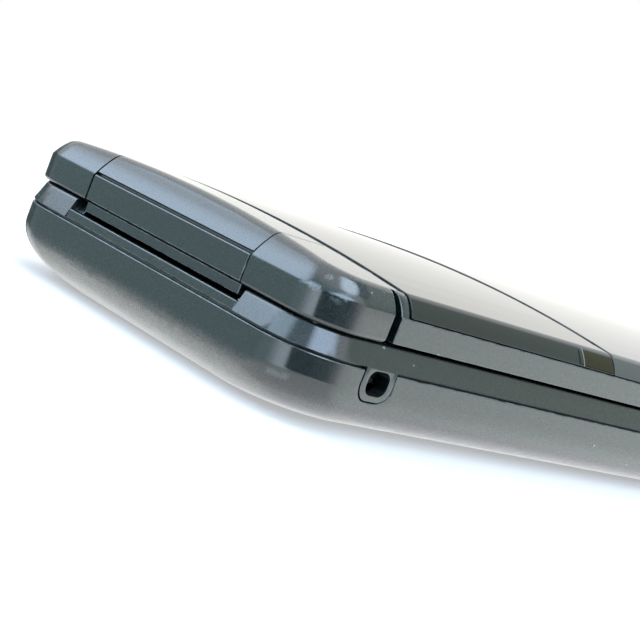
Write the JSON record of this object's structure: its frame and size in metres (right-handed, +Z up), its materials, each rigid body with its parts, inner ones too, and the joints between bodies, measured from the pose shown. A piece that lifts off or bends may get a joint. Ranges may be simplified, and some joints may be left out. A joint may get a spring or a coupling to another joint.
{
  "type": "flip phone",
  "caption": "Closed flip phone with a hinged lid on a barrel between two knuckles, glossy lid panels, a clip-on rear cover and a strap eyelet.",
  "frame": {"origin": "centre of the closed phone's footprint, on the surface that it lies on", "axes": "+X across the width, +Y towards the hinge end, +Z up through the lid; the strap eyelet is on the -X side"},
  "size_m": [0.05, 0.11, 0.0157],
  "materials": {
    "pearl_paint": "dark navy pearl paint with fine flakes on moulded plastic",
    "dark_plastic": "black moulded plastic",
    "gloss_panel": "black high-gloss panel",
    "window_panel": "black tinted high-gloss window",
    "smoked_lens": "smoked brown lens",
    "clear_glass": "dark clear window",
    "display": "switched-off display",
    "circuit_board": "green laminate",
    "steel": "plain steel",
    "contact_film": "amber film",
    "contacts": "gold-plated contacts",
    "grille": "dark fine mesh",
    "soft_rubber": "soft black rubber",
    "key_plastic": "dark satin key caps"
  },
  "bodies": {
    "base": {"rear_cover": "pearl_paint", "front_case": "pearl_paint", "hinge_lip": "pearl_paint", "hinge_cap_left": "pearl_paint", "hinge_cap_right": "pearl_paint", "keypad_panel": "dark_plastic", "dome_sheet": "contact_film", "main_board": "circuit_board", "shield_can": "steel", "battery": "dark_plastic", "battery_terminals": "contacts", "card_holder": "dark_plastic", "loudspeaker": "dark_plastic", "microphone": "dark_plastic", "vibration_motor": "steel", "usb_socket": "steel", "camera_module": "dark_plastic", "camera_window": "clear_glass", "board_screws": "steel", "hinge_housing": "steel", "hinge_bush": "steel"},
    "lid": {"lid_housing": "pearl_paint", "barrel_cover": "pearl_paint", "cover_panel": "gloss_panel", "window_panel": "window_panel", "indicator_lens": "smoked_lens", "display_bezel": "dark_plastic", "display_glass": "clear_glass", "display_module": "display", "sub_display": "display", "lid_board": "circuit_board", "earpiece": "dark_plastic", "earpiece_grille": "grille", "lid_bumpers": "soft_rubber", "lid_screws": "steel", "hinge_shaft": "steel", "hinge_flex": "contact_film"},
    "port_cover": {"port_cover": "pearl_paint"},
    "key_star": {"key_star": "key_plastic"},
    "key_0": {"key_0": "key_plastic"},
    "key_hash": {"key_hash": "key_plastic"},
    "key_7": {"key_7": "key_plastic"},
    "key_8": {"key_8": "key_plastic"},
    "key_9": {"key_9": "key_plastic"},
    "key_4": {"key_4": "key_plastic"},
    "key_5": {"key_5": "key_plastic"},
    "key_6": {"key_6": "key_plastic"},
    "key_1": {"key_1": "key_plastic"},
    "key_2": {"key_2": "key_plastic"},
    "key_3": {"key_3": "key_plastic"},
    "key_call": {"key_call": "key_plastic"},
    "key_clear": {"key_clear": "key_plastic"},
    "key_end": {"key_end": "key_plastic"},
    "key_menu": {"key_menu": "key_plastic"},
    "key_camera": {"key_camera": "key_plastic"},
    "key_mail": {"key_mail": "key_plastic"},
    "key_web": {"key_web": "key_plastic"},
    "key_ring": {"key_ring": "key_plastic"},
    "key_ok": {"key_ok": "key_plastic"}
  },
  "joints": [
    {"name": "lid_hinge", "type": "hinge", "parent": "base", "child": "lid", "pos_m": [0, 0.0498, 0.01245], "axis": [-1, 0, 0], "range_deg": [0, 160]},
    {"name": "port_cover_hinge", "type": "hinge", "parent": "base", "child": "port_cover", "pos_m": [0.02455, 0.013, 0.00585], "axis": [0, -1, 0], "range_deg": [0, 90]},
    {"name": "key_star_press", "type": "slide", "parent": "base", "child": "key_star", "axis": [0, 0, -1], "range_m": [0, 0.00025], "stiffness_N_per_m": 20, "springref_m": -0.001},
    {"name": "key_0_press", "type": "slide", "parent": "base", "child": "key_0", "axis": [0, 0, -1], "range_m": [0, 0.00025], "stiffness_N_per_m": 20, "springref_m": -0.001},
    {"name": "key_hash_press", "type": "slide", "parent": "base", "child": "key_hash", "axis": [0, 0, -1], "range_m": [0, 0.00025], "stiffness_N_per_m": 20, "springref_m": -0.001},
    {"name": "key_7_press", "type": "slide", "parent": "base", "child": "key_7", "axis": [0, 0, -1], "range_m": [0, 0.00025], "stiffness_N_per_m": 20, "springref_m": -0.001},
    {"name": "key_8_press", "type": "slide", "parent": "base", "child": "key_8", "axis": [0, 0, -1], "range_m": [0, 0.00025], "stiffness_N_per_m": 20, "springref_m": -0.001},
    {"name": "key_9_press", "type": "slide", "parent": "base", "child": "key_9", "axis": [0, 0, -1], "range_m": [0, 0.00025], "stiffness_N_per_m": 20, "springref_m": -0.001},
    {"name": "key_4_press", "type": "slide", "parent": "base", "child": "key_4", "axis": [0, 0, -1], "range_m": [0, 0.00025], "stiffness_N_per_m": 20, "springref_m": -0.001},
    {"name": "key_5_press", "type": "slide", "parent": "base", "child": "key_5", "axis": [0, 0, -1], "range_m": [0, 0.00025], "stiffness_N_per_m": 20, "springref_m": -0.001},
    {"name": "key_6_press", "type": "slide", "parent": "base", "child": "key_6", "axis": [0, 0, -1], "range_m": [0, 0.00025], "stiffness_N_per_m": 20, "springref_m": -0.001},
    {"name": "key_1_press", "type": "slide", "parent": "base", "child": "key_1", "axis": [0, 0, -1], "range_m": [0, 0.00025], "stiffness_N_per_m": 20, "springref_m": -0.001},
    {"name": "key_2_press", "type": "slide", "parent": "base", "child": "key_2", "axis": [0, 0, -1], "range_m": [0, 0.00025], "stiffness_N_per_m": 20, "springref_m": -0.001},
    {"name": "key_3_press", "type": "slide", "parent": "base", "child": "key_3", "axis": [0, 0, -1], "range_m": [0, 0.00025], "stiffness_N_per_m": 20, "springref_m": -0.001},
    {"name": "key_call_press", "type": "slide", "parent": "base", "child": "key_call", "axis": [0, 0, -1], "range_m": [0, 0.00025], "stiffness_N_per_m": 20, "springref_m": -0.001},
    {"name": "key_clear_press", "type": "slide", "parent": "base", "child": "key_clear", "axis": [0, 0, -1], "range_m": [0, 0.00025], "stiffness_N_per_m": 20, "springref_m": -0.001},
    {"name": "key_end_press", "type": "slide", "parent": "base", "child": "key_end", "axis": [0, 0, -1], "range_m": [0, 0.00025], "stiffness_N_per_m": 20, "springref_m": -0.001},
    {"name": "key_menu_press", "type": "slide", "parent": "base", "child": "key_menu", "axis": [0, 0, -1], "range_m": [0, 0.00025], "stiffness_N_per_m": 20, "springref_m": -0.001},
    {"name": "key_camera_press", "type": "slide", "parent": "base", "child": "key_camera", "axis": [0, 0, -1], "range_m": [0, 0.00025], "stiffness_N_per_m": 20, "springref_m": -0.001},
    {"name": "key_mail_press", "type": "slide", "parent": "base", "child": "key_mail", "axis": [0, 0, -1], "range_m": [0, 0.00025], "stiffness_N_per_m": 20, "springref_m": -0.001},
    {"name": "key_web_press", "type": "slide", "parent": "base", "child": "key_web", "axis": [0, 0, -1], "range_m": [0, 0.00025], "stiffness_N_per_m": 20, "springref_m": -0.001},
    {"name": "key_ring_press", "type": "slide", "parent": "base", "child": "key_ring", "axis": [0, 0, -1], "range_m": [0, 0.00025], "stiffness_N_per_m": 20, "springref_m": -0.001},
    {"name": "key_ok_press", "type": "slide", "parent": "base", "child": "key_ok", "axis": [0, 0, -1], "range_m": [0, 0.00025], "stiffness_N_per_m": 20, "springref_m": -0.001}
  ]
}
